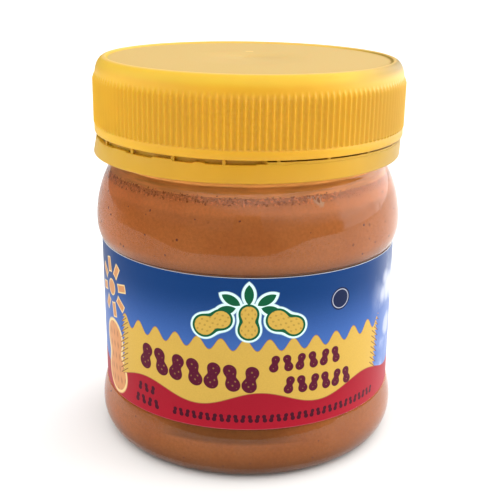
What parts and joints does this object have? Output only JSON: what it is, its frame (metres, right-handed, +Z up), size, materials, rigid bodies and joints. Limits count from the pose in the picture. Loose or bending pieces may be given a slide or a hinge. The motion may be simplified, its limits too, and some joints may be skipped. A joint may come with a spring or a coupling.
{
  "type": "peanut butter jar",
  "caption": "Shut clear plastic jar full of peanut butter, with a wrap-round printed label and a ribbed screw lid over a tamper band.",
  "frame": {"origin": "centre of the jar's foot, on the surface that it stands on", "axes": "+Z up along the jar's axis, -Y out of the middle of the label's front, +X to the right seen from the front"},
  "size_m": [0.0724, 0.0724, 0.0901],
  "materials": {
    "clear_plastic": "clear gloss, moulded plastic",
    "peanut_butter": "soft sheen, smooth spread with fine dark specks",
    "printed_label": "gloss-coated printed paper",
    "yellow_plastic": "satin moulded plastic, matt on the disc"
  },
  "bodies": {
    "root": {"jar": "clear_plastic", "peanut_butter": "peanut_butter", "label": "printed_label", "lid": "yellow_plastic"}
  },
  "joints": []
}
